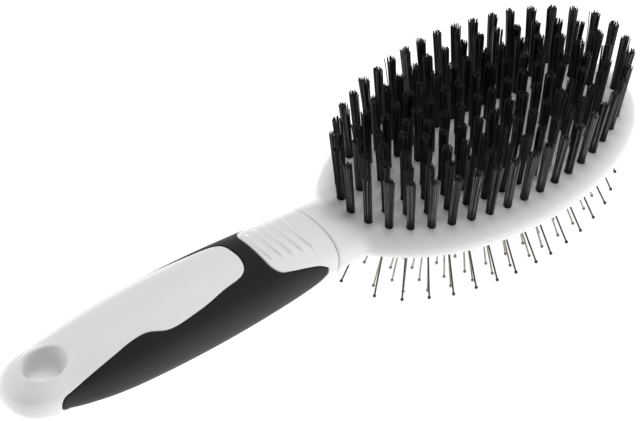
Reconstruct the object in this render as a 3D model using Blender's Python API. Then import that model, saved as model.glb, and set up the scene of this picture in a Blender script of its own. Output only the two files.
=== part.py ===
"""Double-sided grooming brush: nylon bristle tufts on one face, ball-tipped pins on the other.

X runs along the brush with the head at +X, Y across it, Z up with the bristles up.
The brush lies on its pins at z = 0, and x = 0 is half way along it.
Shapes are drawn from the middle of the tufted face, and two empties put them in place.
"""
import math

import bpy

MM = 0.001
GAP = 0.3 * MM

# Head: an oval plate above the parting line and a shell below it
HEAD_HALF_LENGTH = 54.3 * MM
HEAD_HALF_WIDTH = 30.8 * MM
PARTING_Z = -4.0 * MM
BEZEL_DEPTH = 5.0 * MM
RIM_ROUNDING = 8.0 * MM
NECK_HALF_WIDTH = 10.8 * MM
NECK_HALF_HEIGHT = 7.65 * MM
NECK_BLEND = 2.0 * MM
NECK_FADE_END = -46.0 * MM
SEAM_X = -61.0 * MM
SECTION_POWER = 2.3
RIM_POWER = 2.2
RIM_FULL_X = 20.0 * MM
HEAD_SLICES = 26
HEAD_COLUMNS = 12
SLICE_CROWDING = 1.7

# Bristle tufts: semi-axes, count and number of stretches of each oval row, then the middle row.
# The tufts of a stretch hang on one drawing wire behind the plate, so they are one body.
TUFT_ROWS = ((48.0 * MM, 24.0 * MM, 40, 4), (42.0 * MM, 18.2 * MM, 34, 4),
             (35.5 * MM, 12.4 * MM, 28, 4), (28.5 * MM, 6.5 * MM, 22, 2))
TUFT_MIDDLE = (20.0 * MM, 8)
TUFT_HEIGHT = 19.3 * MM
TUFT_HALF_SIDE = 1.05 * MM
TUFT_TIP_HALF_SIDE = 1.2 * MM
TUFT_FAN_X = 0.098
TUFT_FAN_Y = 0.113
TUFT_LEAN = -0.077
PLATE_THICKNESS = 3.0 * MM
RECESS_HALF_LENGTH = 50.8 * MM
RECESS_HALF_WIDTH = 26.8 * MM
WIRE_THICKNESS = 0.6 * MM
TUFT_ROOT = PARTING_Z + 0.1 * MM
TUFT_HOLE_Z = (-5.0 * MM, 2.0 * MM)

# Cushion opening in the pin-side shell, from the cushion's own centre
CUSHION_X = 1.8 * MM
OPENING_HALF_LENGTH = 46.6 * MM
OPENING_HALF_WIDTH = 21.6 * MM
POCKET_MARGIN = 3.0 * MM
POCKET_FLOOR_Z = -8.1 * MM
CUSHION_CLEARANCE = 0.4 * MM
CUSHION_THICKNESS = 1.2 * MM
CUSHION_FLANGE_Z = POCKET_FLOOR_Z + GAP
CUSHION_DOME_DEPTH = 6.4 * MM
CUSHION_APEX_Z = -14.6 * MM
CUSHION_SHARES = (0.14, 0.45, 0.72, 0.9, 0.98)
CUSHION_SIDES = 32
RETAINER_WIDTH = 4.6 * MM
OPENING_LOW_Z = -12.0 * MM
OPENING_HIGH_Z = -3.0 * MM

# Pins: semi-axes, count, start and number of stretches of each oval row, then the middle row.
# The pins of a stretch stand on one backing strip inside the cushion.
PIN_ROWS = ((42.6 * MM, 15.0 * MM, 33, 4, 0.0), (37.8 * MM, 12.15 * MM, 30, 4, 0.56),
            (33.0 * MM, 8.5 * MM, 24, 2, 0.66), (28.2 * MM, 4.0 * MM, 20, 2, 0.08))
PIN_MIDDLE = (22.0 * MM, 9)
PIN_LENGTH = 19.0 * MM
PIN_HALF_SIDE = 0.27 * MM
BALL_RADIUS = 0.5 * MM
STRIP_THICKNESS = 0.5 * MM
PIN_FLARE_X = 0.45
PIN_FLARE_Y = 1.09
PIN_FOOT_GAP = 0.75 * MM
PIN_HOLE_REACH = (3.5 * MM, -4.5 * MM)
BALL_FLAT = 0.8

# Handle: distance from the head's middle, half width, half height and height of the middle, in mm
TAIL_REACH = 163.7 * MM
TAIL_CAP = 13.7 * MM
TAIL_POWERS = (2.3, 2.1)
HANDLE_SECTIONS = ((-61.0, 10.8, 7.65, -4.0), (-80.0, 12.0, 9.6, -3.8), (-100.0, 12.7, 10.6, -3.3),
                   (-120.0, 12.6, 10.4, -2.85), (-135.0, 11.8, 9.3, -2.5), (-150.0, 9.9, 7.1, -1.6))
HANDLE_SIDES = 20
HANDLE_LEAST_SIZE = (0.4 * MM, 0.3 * MM)
PANEL_SLICES = 30
GRIP_SLICES = 24
CAVITY_SLICES = 16
CORE_SLICES = 14
COLLAR_SLICES = 10
GRIP_THICKNESS = 1.8 * MM

# Plan outlines of the white panels and of the collar, in mm, from the middle line outwards.
# The panels reach further out on the +Y side, where they cover the whole shoulder of the handle.
PANEL_FAR_EDGE = ((-88.0, 0.0), (-88.4, 5.0), (-89.7, 7.0), (-92.5, 8.1), (-98.5, 8.9), (-105.0, 9.8),
                  (-110.5, 10.5), (-115.5, 10.9), (-119.5, 11.0), (-124.5, 10.8), (-129.5, 10.6),
                  (-134.5, 10.3), (-141.0, 9.8), (-147.5, 9.5), (-152.0, 9.6), (-154.6, 10.8))
PANEL_NEAR_EDGE = ((-88.0, 0.0), (-88.4, 2.2), (-89.7, 4.8), (-92.5, 6.4), (-98.5, 7.35), (-105.0, 8.6),
                   (-110.5, 9.2), (-115.5, 9.55), (-119.5, 9.2), (-124.5, 7.6), (-129.5, 7.55),
                   (-134.5, 8.15), (-141.0, 8.8), (-147.5, 9.3), (-152.0, 9.6), (-154.6, 10.8))
COLLAR_EDGE = ((-83.2, 0.0), (-83.1, 4.3), (-82.6, 7.2), (-80.6, 9.2), (-77.0, 9.9), (-72.0, 10.4),
               (-68.6, 10.7), (-66.2, 10.97), (-65.1, 11.04), (-64.7, 11.2))
EDGE_REACH = 20.0 * MM
CUT_LOW_Z = -20.0 * MM
CUT_HIGH_Z = 14.0 * MM
COLLAR_TAIL_X = -84.0 * MM
PANEL_CUT_X = -172.0 * MM
COLLAR_CUT_X = -55.0 * MM
GRIP_TAIL_X = -158.0 * MM
CORE_TAIL_X = -159.0 * MM
CAVITY_TAIL_X = -162.7 * MM
RIB_FIRST_X = -81.4 * MM
RIB_PITCH = 3.1 * MM
RIB_WIDTH = 1.1 * MM
RIB_HEIGHT = 0.45 * MM
RIB_BOW = 1.4 * MM
RIB_HALF_SPANS = (6.4 * MM, 7.0 * MM, 7.5 * MM, 8.0 * MM, 8.4 * MM)
TANG_START_X = -57.0 * MM
TANG_END_X = -96.0 * MM
TANG_HALF_WIDTH = 5.5 * MM
TANG_BOTTOM_Z = -3.7 * MM
TANG_TOP_Z = 0.2 * MM
HANG_HOLE_X = -151.5 * MM
HANG_HOLE_WAIST = (4.3 * MM, 3.4 * MM)
HANG_HOLE_FLARE = (1.8 * MM, 1.6 * MM)
HANG_HOLE_POWER = 2.6
HANG_HOLE_SIDES = 24

# Place of the drawing's zero in the part
HEAD_X = (TAIL_REACH + HEAD_HALF_LENGTH) / 2 - HEAD_HALF_LENGTH
HEAD_Z = -CUSHION_APEX_Z + PIN_LENGTH + BALL_RADIUS


def material(name, colour, roughness, metallic=0.0):
    """A Principled material with one colour."""
    made = bpy.data.materials.new(name)
    made.use_nodes = True
    shader = made.node_tree.nodes["Principled BSDF"]
    shader.inputs["Base Color"].default_value = (*colour, 1.0)
    shader.inputs["Roughness"].default_value = roughness
    shader.inputs["Metallic"].default_value = metallic
    return made


def add_object(name, points, faces, look=None, parent=None):
    """A mesh object; without a material it is a guide for cutting."""
    mesh = bpy.data.meshes.new(name)
    mesh.from_pydata(points, [], faces)
    made = bpy.data.objects.new(name, mesh)
    bpy.context.collection.objects.link(made)
    made.parent = parent
    if look:
        mesh.materials.append(look)
    else:
        made.hide_render = True
        made.display_type = "WIRE"
    return made


def combine(target, other, operation):
    """A Boolean of two closed meshes, kept as a modifier."""
    step = target.modifiers.new(other.name, "BOOLEAN")
    step.operation = operation
    step.solver = "EXACT"
    step.object = other


def loft(rings):
    """Points and faces of a closed body through rings of points, which turn from +Y to +Z."""
    count = len(rings[0])
    points = [point for ring in rings for point in ring]
    faces = [tuple(range(count)), tuple(range(len(points) - 1, len(points) - count - 1, -1))]
    for row in range(len(rings) - 1):
        for i in range(count):
            a = row * count + i
            b = row * count + (i + 1) % count
            faces.append((a, a + count, b + count, b))
    return points, faces


def stack(rings):
    """As loft, for rings that turn from +X to +Y and are stacked upwards."""
    points, faces = loft(rings)
    return points, [tuple(reversed(face)) for face in faces]


def many(bodies):
    """Points and faces of several separate bodies as one mesh."""
    points = []
    faces = []
    for body_points, body_faces in bodies:
        start = len(points)
        points.extend(body_points)
        faces.extend(tuple(start + i for i in face) for face in body_faces)
    return points, faces


def ellipse(half_length, half_width, z, count):
    """A flat oval ring of points."""
    turns = [2 * math.pi * i / count for i in range(count)]
    return [(half_length * math.cos(t), half_width * math.sin(t), z) for t in turns]


def box(low, high):
    """A straight box between two corners."""
    rings = []
    for x in (low[0], high[0]):
        rings.append([(x, high[1], low[2]), (x, high[1], high[2]),
                      (x, low[1], high[2]), (x, low[1], low[2])])
    return loft(rings[::-1])


def power_ring(x, half_width, half_height, middle, count):
    """A rounded section across the handle or neck."""
    ring = []
    for i in range(count):
        turn = 2 * math.pi * i / count
        across = math.copysign(abs(math.cos(turn)) ** (2 / SECTION_POWER), math.cos(turn))
        up = math.copysign(abs(math.sin(turn)) ** (2 / SECTION_POWER), math.sin(turn))
        ring.append((x, half_width * across, middle + half_height * up))
    return ring


def curve_through(points, steps):
    """Points on a smooth curve through the given ones."""
    ends = [[2 * a - b for a, b in zip(points[0], points[1])],
            [2 * a - b for a, b in zip(points[-1], points[-2])]]
    padded = [ends[0], *points, ends[1]]
    made = []
    for k in range(1, len(padded) - 2):
        for step in range(steps):
            t = step / steps
            made.append([((2 * b) + (c - a) * t + (2 * a - 5 * b + 4 * c - d) * t * t
                          + (3 * b - a - 3 * c + d) * t ** 3) / 2
                         for a, b, c, d in zip(*padded[k - 1:k + 3])])
    made.append(list(points[-1]))
    return made


def oval_places(half_length, half_width, count, start=0.0):
    """Evenly spaced places around an oval with their directions, counted from its tail end."""
    fine = 1440
    turns = [math.pi + 2 * math.pi * i / fine for i in range(fine + 1)]
    outline = [(half_length * math.cos(t), half_width * math.sin(t)) for t in turns]
    reach = [0.0]
    for a, b in zip(outline, outline[1:]):
        reach.append(reach[-1] + math.dist(a, b))
    places = []
    k = 0
    for i in range(count):
        wanted = reach[-1] * (i + start) / count
        while reach[k + 1] < wanted:
            k += 1
        step = reach[k + 1] - reach[k]
        share = (wanted - reach[k]) / step
        a, b = outline[k], outline[k + 1]
        along = ((b[0] - a[0]) / step, (b[1] - a[1]) / step)
        places.append((a[0] + share * (b[0] - a[0]), a[1] + share * (b[1] - a[1]), along))
    return places


def row_places(half_span, count):
    """Evenly spaced places along the middle line."""
    return [(half_span * (2 * i / (count - 1) - 1), 0.0, (1.0, 0.0)) for i in range(count)]


def stretches(rows, middle):
    """Names and places of each stretch of each row, the middle row last."""
    found = []
    for number, (half_length, half_width, count, parts, *start) in enumerate(rows, 1):
        places = oval_places(half_length, half_width, count, *start)
        for part in range(parts):
            low, high = count * part // parts, count * (part + 1) // parts
            found.append((f"{number}{'abcd'[part]}", places[low:high]))
    found.append((str(len(rows) + 1), row_places(*middle)))
    return found


def linked_posts(posts):
    """One body: four-sided posts, each a list of rings, tied to the next one below their second ring."""
    size = 4
    points = [point for post in posts for ring in post for point in ring]
    faces = []
    start = 0
    for number, post in enumerate(posts):
        last = start + size * (len(post) - 1)
        faces.append(tuple(range(start + size - 1, start - 1, -1)))
        faces.append(tuple(range(last, last + size)))
        for band in range(len(post) - 1):
            for k in range(size):
                tied = band == 0 and (k == 3 and number < len(posts) - 1 or k == 1 and number > 0)
                if not tied:
                    a, b = start + size * band + k, start + size * band + (k + 1) % size
                    faces.append((a, b, b + size, a + size))
        after = last + size
        if number < len(posts) - 1:
            faces.append((after + 1, start, start + size, after + size + 1))
            faces.append((start + 3, after + 2, after + size + 2, start + size + 3))
            faces.append((start, after + 1, after + 2, start + 3))
            faces.append((start + size + 3, after + size + 2, after + size + 1, start + size))
        start = after
    return points, faces


def square_ring(middle, half_side, along, across):
    """Four corners around a point, turning from one direction to the other."""
    signs = ((1, 1), (-1, 1), (-1, -1), (1, -1))
    return [tuple(middle[k] + half_side * (a * along[k] + b * across[k]) for k in range(3))
            for a, b in signs]


def head_half_width(x):
    """Half width of the head's outline, running smoothly into the neck."""
    oval = HEAD_HALF_WIDTH * math.sqrt(max(0.0, 1 - (x / HEAD_HALF_LENGTH) ** 2))
    if x > 0:
        return oval
    apart = oval - NECK_HALF_WIDTH
    return (oval + NECK_HALF_WIDTH + math.sqrt(apart ** 2 + NECK_BLEND ** 2)) / 2


def edge_distance(x, y):
    """Roughly how far a place on the head lies inside its outline."""
    half = head_half_width(x)
    step = 0.1 * MM
    slope = (head_half_width(x + step) - head_half_width(x - step)) / (2 * step) if x < 0 else 0.0
    along_slice = (half - abs(y)) / math.sqrt(1 + slope ** 2)
    ratio = math.hypot(x / HEAD_HALF_LENGTH, y / HEAD_HALF_WIDTH)
    if x <= -RIM_FULL_X or ratio < 0.3:
        return max(0.0, along_slice)
    steep = math.hypot(x / HEAD_HALF_LENGTH ** 2, y / HEAD_HALF_WIDTH ** 2) / ratio
    across_rim = (1 - ratio) / steep
    share = min(1.0, (x + RIM_FULL_X) / RIM_FULL_X)
    return max(0.0, along_slice * (1 - share) + across_rim * share)


def head_surface(x, y, side):
    """Height of the head's upper (side 1) or lower (side -1) face."""
    inward = 1 - min(1.0, edge_distance(x, y) / RIM_ROUNDING)
    reach = -PARTING_Z if side > 0 else -BEZEL_DEPTH
    head = reach * math.sqrt(max(0.0, 1 - inward ** RIM_POWER))
    if x >= NECK_FADE_END:
        return PARTING_Z + head
    share = (NECK_FADE_END - x) / (NECK_FADE_END - SEAM_X)
    share = share * share * (3 - 2 * share)
    across = min(1.0, abs(y) / head_half_width(x))
    neck = side * NECK_HALF_HEIGHT * (1 - across ** SECTION_POWER) ** (1 / SECTION_POWER)
    return PARTING_Z + head * (1 - share) + neck * share


def head_half(side, flat_z):
    """One half of the head and neck: a crowned face, an end at the seam and a flat parting face."""
    points = []
    top_rows = []
    length = HEAD_HALF_LENGTH - SEAM_X
    for i in range(HEAD_SLICES):
        share = i / HEAD_SLICES
        x = SEAM_X + length * (1 - (1 - share) ** SLICE_CROWDING)
        row = []
        for j in range(HEAD_COLUMNS + 1):
            y = -head_half_width(x) * math.cos(math.pi * j / HEAD_COLUMNS)
            row.append(len(points))
            inner = 0 < j < HEAD_COLUMNS
            points.append((x, y, head_surface(x, y, side) if inner else flat_z))
        top_rows.append(row)
    tip = len(points)
    points.append((HEAD_HALF_LENGTH, 0.0, flat_z))
    faces = []
    for a, b in zip(top_rows, top_rows[1:]):
        faces.extend((a[j], b[j], b[j + 1], a[j + 1]) for j in range(HEAD_COLUMNS))
    last = top_rows[-1]
    faces.extend((last[j], tip, last[j + 1]) for j in range(HEAD_COLUMNS))
    faces.append(tuple(top_rows[0]))
    faces.append(tuple([row[-1] for row in top_rows] + [tip] + [row[0] for row in reversed(top_rows)]))
    if side < 0:
        faces = [tuple(reversed(face)) for face in faces]
    return points, faces


def tuft_ring(place, z, half_side):
    """A level square section of a tuft, which leans outwards and towards the tail."""
    x, y, (along_x, along_y) = place
    lean_x = TUFT_FAN_X * x / TUFT_ROWS[0][0] + TUFT_LEAN
    lean_y = TUFT_FAN_Y * y / TUFT_ROWS[0][1]
    middle = (x + lean_x * z, y + lean_y * z, z)
    return square_ring(middle, half_side, (along_x, along_y, 0.0), (-along_y, along_x, 0.0))


def add_tufts(parent, rows):
    """One node for each stretch of nylon tufts and its drawing wire."""
    look = material("black_nylon", (0.012, 0.012, 0.013), 0.4)
    levels = ((TUFT_ROOT, TUFT_HALF_SIDE), (TUFT_ROOT + WIRE_THICKNESS, TUFT_HALF_SIDE),
              (TUFT_HEIGHT, TUFT_TIP_HALF_SIDE))
    for name, places in rows:
        posts = [[tuft_ring(place, *level) for level in levels] for place in places]
        add_object(f"tuft_row_{name}", *linked_posts(posts), look, parent)


def add_bristle_plate(parent, rows):
    """Upper half of the head: drilled for the tufts, with the upper half of the neck and the tang."""
    look = material("white_plastic", (0.83, 0.83, 0.82), 0.35)
    plate = add_object("bristle_plate", *head_half(1, PARTING_Z), look, parent)
    recess = oval_prism(RECESS_HALF_LENGTH, RECESS_HALF_WIDTH, PARTING_Z - MM, -PLATE_THICKNESS)
    combine(plate, add_object("cut_recess", *recess, parent=parent), "DIFFERENCE")
    half_side = TUFT_HALF_SIDE + GAP
    holes = [stack([tuft_ring(place, z, half_side) for z in TUFT_HOLE_Z])
             for name, places in rows for place in places]
    combine(plate, add_object("cut_tuft_holes", *many(holes), parent=parent), "DIFFERENCE")
    tang = box((TANG_END_X, -TANG_HALF_WIDTH, TANG_BOTTOM_Z), (TANG_START_X, TANG_HALF_WIDTH, TANG_TOP_Z))
    combine(plate, add_object("guide_tang", *tang, parent=parent), "UNION")


def oval_prism(half_length, half_width, low, high, count=48):
    """A straight-sided oval block around the cushion's centre."""
    return stack([ellipse(half_length, half_width, z, count) for z in (low, high)])


def add_pin_side(parent, cushion_axis):
    """Lower half of the head with its opening and pocket, and the ring that clamps the cushion."""
    look = material("white_plastic_lower", (0.83, 0.83, 0.82), 0.35)
    shell = add_object("pin_side_shell", *head_half(-1, PARTING_Z - GAP), look, parent)
    opening = oval_prism(OPENING_HALF_LENGTH, OPENING_HALF_WIDTH, OPENING_LOW_Z, OPENING_HIGH_Z)
    pocket_length = OPENING_HALF_LENGTH + POCKET_MARGIN
    pocket_width = OPENING_HALF_WIDTH + POCKET_MARGIN
    pocket = oval_prism(pocket_length, pocket_width, POCKET_FLOOR_Z, OPENING_HIGH_Z)
    combine(shell, add_object("cut_opening", *opening, parent=cushion_axis), "DIFFERENCE")
    combine(shell, add_object("cut_pocket", *pocket, parent=cushion_axis), "DIFFERENCE")

    low = CUSHION_FLANGE_Z + CUSHION_THICKNESS + GAP
    outer = (pocket_length - GAP, pocket_width - GAP)
    look = material("retainer_plastic", (0.55, 0.55, 0.54), 0.5)
    ring = add_object("cushion_retainer", *oval_prism(*outer, low, PARTING_Z - GAP), look, cushion_axis)
    inner = oval_prism(outer[0] - RETAINER_WIDTH, outer[1] - RETAINER_WIDTH, low - MM, OPENING_HIGH_Z)
    combine(ring, add_object("cut_retainer", *inner, parent=cushion_axis), "DIFFERENCE")


def dome_height(x, y):
    """Height of the cushion's outer face."""
    half_length = OPENING_HALF_LENGTH - CUSHION_CLEARANCE
    half_width = OPENING_HALF_WIDTH - CUSHION_CLEARANCE
    return CUSHION_APEX_Z + CUSHION_DOME_DEPTH * ((x / half_length) ** 2 + (y / half_width) ** 2)


def add_cushion(cushion_axis, rows):
    """The rubber air cushion: a domed skin with a flat flange and a small hole for each pin."""
    look = material("cushion_rubber", (0.10, 0.10, 0.105), 0.6)
    half_length = OPENING_HALF_LENGTH - CUSHION_CLEARANCE
    half_width = OPENING_HALF_WIDTH - CUSHION_CLEARANCE
    flange = POCKET_MARGIN
    count = CUSHION_SIDES
    outer = []
    for share in CUSHION_SHARES:
        ring = ellipse(half_length * share, half_width * share, 0.0, count)
        outer.append([(x, y, dome_height(x, y)) for x, y, z in ring])
    outer.append(ellipse(half_length, half_width, CUSHION_FLANGE_Z, count))
    outer.append(ellipse(half_length + flange, half_width + flange, CUSHION_FLANGE_Z, count))
    inner = [[(x, y, z + CUSHION_THICKNESS) for x, y, z in ring] for ring in reversed(outer)]
    cushion = add_object("pin_cushion", *stack(outer + inner), look, cushion_axis)
    half_side = PIN_HALF_SIDE + GAP
    levels = [(reach, half_side) for reach in PIN_HOLE_REACH]
    holes = [stack(pin_rings(place, levels, upward=True)) for name, places in rows for place in places]
    combine(cushion, add_object("cut_pin_holes", *many(holes), parent=cushion_axis), "DIFFERENCE")


def pin_rings(place, levels, upward=False):
    """Square sections of a pin at distances out from the cushion's face, along its own line."""
    x, y, (along_x, along_y) = place
    lean = (PIN_FLARE_X * x / OPENING_HALF_LENGTH, PIN_FLARE_Y * y / OPENING_HALF_WIDTH)
    size = math.sqrt(1 + lean[0] ** 2 + lean[1] ** 2)
    way = (lean[0] / size, lean[1] / size, -1 / size)
    slide = along_x * way[0] + along_y * way[1]
    along = [along_x - slide * way[0], along_y - slide * way[1], -slide * way[2]]
    length = math.hypot(*along)
    along = [value / length for value in along]
    across = (way[1] * along[2] - way[2] * along[1], way[2] * along[0] - way[0] * along[2],
              way[0] * along[1] - way[1] * along[0])
    if upward:
        across = [-value for value in across]
    root = (x, y, dome_height(x, y))
    return [square_ring([root[k] + way[k] * reach for k in range(3)], half_side, along, across)
            for reach, half_side in levels]


def add_pins(cushion_axis, rows):
    """One node for each stretch of pins and its backing strip."""
    look = material("pin_steel", (0.62, 0.58, 0.52), 0.28, 1.0)
    inside = -CUSHION_THICKNESS - PIN_FOOT_GAP
    levels = ((inside - STRIP_THICKNESS, PIN_HALF_SIDE), (inside, PIN_HALF_SIDE),
              (PIN_LENGTH - BALL_FLAT * BALL_RADIUS, PIN_HALF_SIDE), (PIN_LENGTH, BALL_RADIUS),
              (PIN_LENGTH + BALL_RADIUS, BALL_FLAT * PIN_HALF_SIDE))
    for name, places in rows:
        posts = [pin_rings(place, levels) for place in places]
        add_object(f"pin_row_{name}", *linked_posts(posts), look, cushion_axis)


def handle_section(x):
    """Half width, half height and middle height of the handle."""
    cap_start = -TAIL_REACH + TAIL_CAP
    known = [[value * MM for value in section] for section in HANDLE_SECTIONS]
    shrink = 1.0
    if x < cap_start:
        shrink = max(1e-4, 1 - ((cap_start - x) / TAIL_CAP) ** TAIL_POWERS[0]) ** (1 / TAIL_POWERS[1])
        x = cap_start
    fine = curve_through(known, 12)
    for a, b in zip(fine, fine[1:]):
        if b[0] <= x:
            break
    share = (x - a[0]) / (b[0] - a[0])
    width, height, middle = (a[k] + share * (b[k] - a[k]) for k in (1, 2, 3))
    return width * shrink, height * shrink, middle


def handle_loft(start, end, slices, grow=0.0):
    """A length of the handle, all round, grown or shrunk by a given amount."""
    rings = []
    for i in range(slices + 1):
        x = start + (end - start) * math.sin(math.pi / 2 * i / slices)
        half_width, half_height, middle = handle_section(x)
        width = max(HANDLE_LEAST_SIZE[0], half_width + grow)
        height = max(HANDLE_LEAST_SIZE[1], half_height + grow)
        rings.append(power_ring(x, width, height, middle, HANDLE_SIDES))
    return loft(rings)


def edge_prism(far_edge, near_edge, closing_x, grow=0.0, steps=3):
    """An upright block over a plan outline, given on each side from the middle line to its outer end."""
    far, near = ([(x * MM, y * MM) for x, y in curve_through(edge, steps)] for edge in (far_edge, near_edge))
    for half in (far, near):
        half += [(half[-1][0], EDGE_REACH), (closing_x, EDGE_REACH)]
    outline = far + [(x, -y) for x, y in reversed(near) if y > 0]
    turned = sum(a[0] * b[1] - b[0] * a[1] for a, b in zip(outline, outline[1:] + outline[:1]))
    if turned < 0:
        outline.reverse()
    moved = []
    for i, here in enumerate(outline):
        before, after = outline[i - 1], outline[(i + 1) % len(outline)]
        dx, dy = after[0] - before[0], after[1] - before[1]
        size = math.hypot(dx, dy)
        moved.append((here[0] + grow * dy / size, here[1] - grow * dx / size))
    return stack([[(x, y, z) for x, y in moved] for z in (CUT_LOW_Z, CUT_HIGH_Z)])


def hang_hole():
    """A through hole that flares towards both faces."""
    half_width, half_height, middle = handle_section(HANG_HOLE_X)
    rings = []
    for k in range(-5, 6):
        share = k / 4
        flare = abs(share) ** HANG_HOLE_POWER
        ring = ellipse(HANG_HOLE_WAIST[0] + HANG_HOLE_FLARE[0] * flare,
                       HANG_HOLE_WAIST[1] + HANG_HOLE_FLARE[1] * flare, 0.0, HANG_HOLE_SIDES)
        rings.append([(HANG_HOLE_X + x, y, middle + half_height * share) for x, y, _ in ring])
    return stack(rings)


def rib_guides():
    """Bowed upright blades, one for each rib of the collar."""
    blades = []
    for number, span in enumerate(RIB_HALF_SPANS):
        middle = RIB_FIRST_X + RIB_PITCH * number
        across = [span * k / 4 for k in range(-4, 5)]
        line = [(middle + RIB_BOW * (y / RIB_HALF_SPANS[1]) ** 2, y) for y in across]
        half = RIB_WIDTH / 2
        outline = [(x + half, y) for x, y in line] + [(x - half, y) for x, y in reversed(line)]
        blades.append(stack([[(x, y, z) for x, y in outline] for z in (CUT_LOW_Z, CUT_HIGH_Z)]))
    return many(blades)


def add_handle(parent):
    """White core with panels and tail, charcoal grip around it, and the ribbed white collar."""
    white = material("white_core", (0.83, 0.83, 0.82), 0.35)
    charcoal = material("charcoal_grip", (0.035, 0.034, 0.033), 0.62)
    rib_look = material("white_collar", (0.85, 0.845, 0.84), 0.35)
    front = SEAM_X - GAP
    inner = -GRIP_THICKNESS

    panels = add_object("guide_panels", *handle_loft(front, -TAIL_REACH, PANEL_SLICES), parent=parent)
    panel_block = edge_prism(PANEL_FAR_EDGE, PANEL_NEAR_EDGE, PANEL_CUT_X)
    combine(panels, add_object("guide_panel_block", *panel_block, parent=parent), "INTERSECT")
    core_body = handle_loft(front - GAP, CORE_TAIL_X, CORE_SLICES, inner - GAP)
    core = add_object("handle_core", *core_body, white, parent)
    combine(core, panels, "UNION")
    combine(core, add_object("cut_hang_hole", *hang_hole(), parent=parent), "DIFFERENCE")
    socket = box((TANG_END_X - GAP, -TANG_HALF_WIDTH - GAP, TANG_BOTTOM_Z - GAP),
                 (SEAM_X + MM, TANG_HALF_WIDTH + GAP, TANG_TOP_Z + GAP))
    combine(core, add_object("cut_socket", *socket, parent=parent), "DIFFERENCE")

    hollow = handle_loft(front + MM, CAVITY_TAIL_X, CAVITY_SLICES, inner)
    cavity = add_object("cut_cavity", *hollow, parent=parent)
    grip = add_object("grip_overmould", *handle_loft(front, GRIP_TAIL_X, GRIP_SLICES), charcoal, parent)
    combine(grip, cavity, "DIFFERENCE")
    panel_room = edge_prism(PANEL_FAR_EDGE, PANEL_NEAR_EDGE, PANEL_CUT_X, GAP)
    combine(grip, add_object("cut_panels", *panel_room, parent=parent), "DIFFERENCE")
    collar_room = edge_prism(COLLAR_EDGE, COLLAR_EDGE, COLLAR_CUT_X, GAP)
    combine(grip, add_object("cut_collar", *collar_room, parent=parent), "DIFFERENCE")

    collar = add_object("thumb_collar", *handle_loft(front, COLLAR_TAIL_X, COLLAR_SLICES), rib_look, parent)
    collar_block = edge_prism(COLLAR_EDGE, COLLAR_EDGE, COLLAR_CUT_X)
    combine(collar, add_object("guide_collar", *collar_block, parent=parent), "INTERSECT")
    raised = handle_loft(front, COLLAR_TAIL_X, COLLAR_SLICES, RIB_HEIGHT)
    ribs = add_object("guide_ribs", *raised, parent=parent)
    combine(ribs, add_object("guide_rib_blades", *rib_guides(), parent=parent), "INTERSECT")
    combine(collar, ribs, "UNION")
    combine(collar, cavity, "DIFFERENCE")


def smooth_shading():
    """Round faces read as round, edges stay crisp."""
    for made in bpy.context.scene.objects:
        if made.type == "MESH" and not made.hide_render:
            made.data.shade_smooth()
            made.data.set_sharp_from_angle(angle=math.radians(35))


def main():
    for old in list(bpy.data.objects):
        bpy.data.objects.remove(old, do_unlink=True)
    origin = bpy.data.objects.new("head_origin", None)
    origin.location = (HEAD_X, 0.0, HEAD_Z)
    cushion_axis = bpy.data.objects.new("cushion_axis", None)
    cushion_axis.parent = origin
    cushion_axis.location = (CUSHION_X, 0.0, 0.0)
    for empty in (origin, cushion_axis):
        bpy.context.collection.objects.link(empty)
    tuft_rows = stretches(TUFT_ROWS, TUFT_MIDDLE)
    pin_rows = stretches(PIN_ROWS, PIN_MIDDLE)
    add_bristle_plate(origin, tuft_rows)
    add_tufts(origin, tuft_rows)
    add_pin_side(origin, cushion_axis)
    add_cushion(cushion_axis, pin_rows)
    add_pins(cushion_axis, pin_rows)
    add_handle(origin)
    smooth_shading()


main()
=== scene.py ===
"""Looks of the double-sided grooming brush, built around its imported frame.

The shapes are drawn from the middle of the tufted face, like the CAD. zero() finds that point in the frame.
"""
import math
import random

import bmesh
import bpy
from mathutils import Matrix, Vector


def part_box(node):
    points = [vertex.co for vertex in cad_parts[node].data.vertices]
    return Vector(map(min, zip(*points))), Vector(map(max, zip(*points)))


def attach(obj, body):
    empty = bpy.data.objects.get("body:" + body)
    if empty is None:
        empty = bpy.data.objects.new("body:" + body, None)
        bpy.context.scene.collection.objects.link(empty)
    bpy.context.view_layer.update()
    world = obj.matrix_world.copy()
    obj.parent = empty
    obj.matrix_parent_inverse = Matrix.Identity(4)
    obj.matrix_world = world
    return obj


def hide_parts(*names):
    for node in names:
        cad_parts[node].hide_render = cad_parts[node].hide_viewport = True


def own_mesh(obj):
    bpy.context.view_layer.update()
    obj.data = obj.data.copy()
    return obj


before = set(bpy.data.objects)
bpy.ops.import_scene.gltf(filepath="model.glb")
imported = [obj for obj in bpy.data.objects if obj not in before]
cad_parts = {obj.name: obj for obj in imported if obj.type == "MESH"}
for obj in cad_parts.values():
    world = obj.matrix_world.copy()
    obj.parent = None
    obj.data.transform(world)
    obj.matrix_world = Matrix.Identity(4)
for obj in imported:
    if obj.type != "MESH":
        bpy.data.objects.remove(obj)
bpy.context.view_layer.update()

MM = 0.001

# Camera, around the middle of the tufted face
CAMERA_AZIMUTH = math.radians(-45.0)
CAMERA_ELEVATION = math.radians(43.6)
CAMERA_ROLL = math.radians(6.4)
CAMERA_DISTANCE = 870.3 * MM
CAMERA_SHIFT = (-44.7 * MM, -19.3 * MM)
CAMERA_LENS = 176.06
CAMERA_SENSOR = 36.0
CAMERA_CLIP = (0.05, 20.0)

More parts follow.
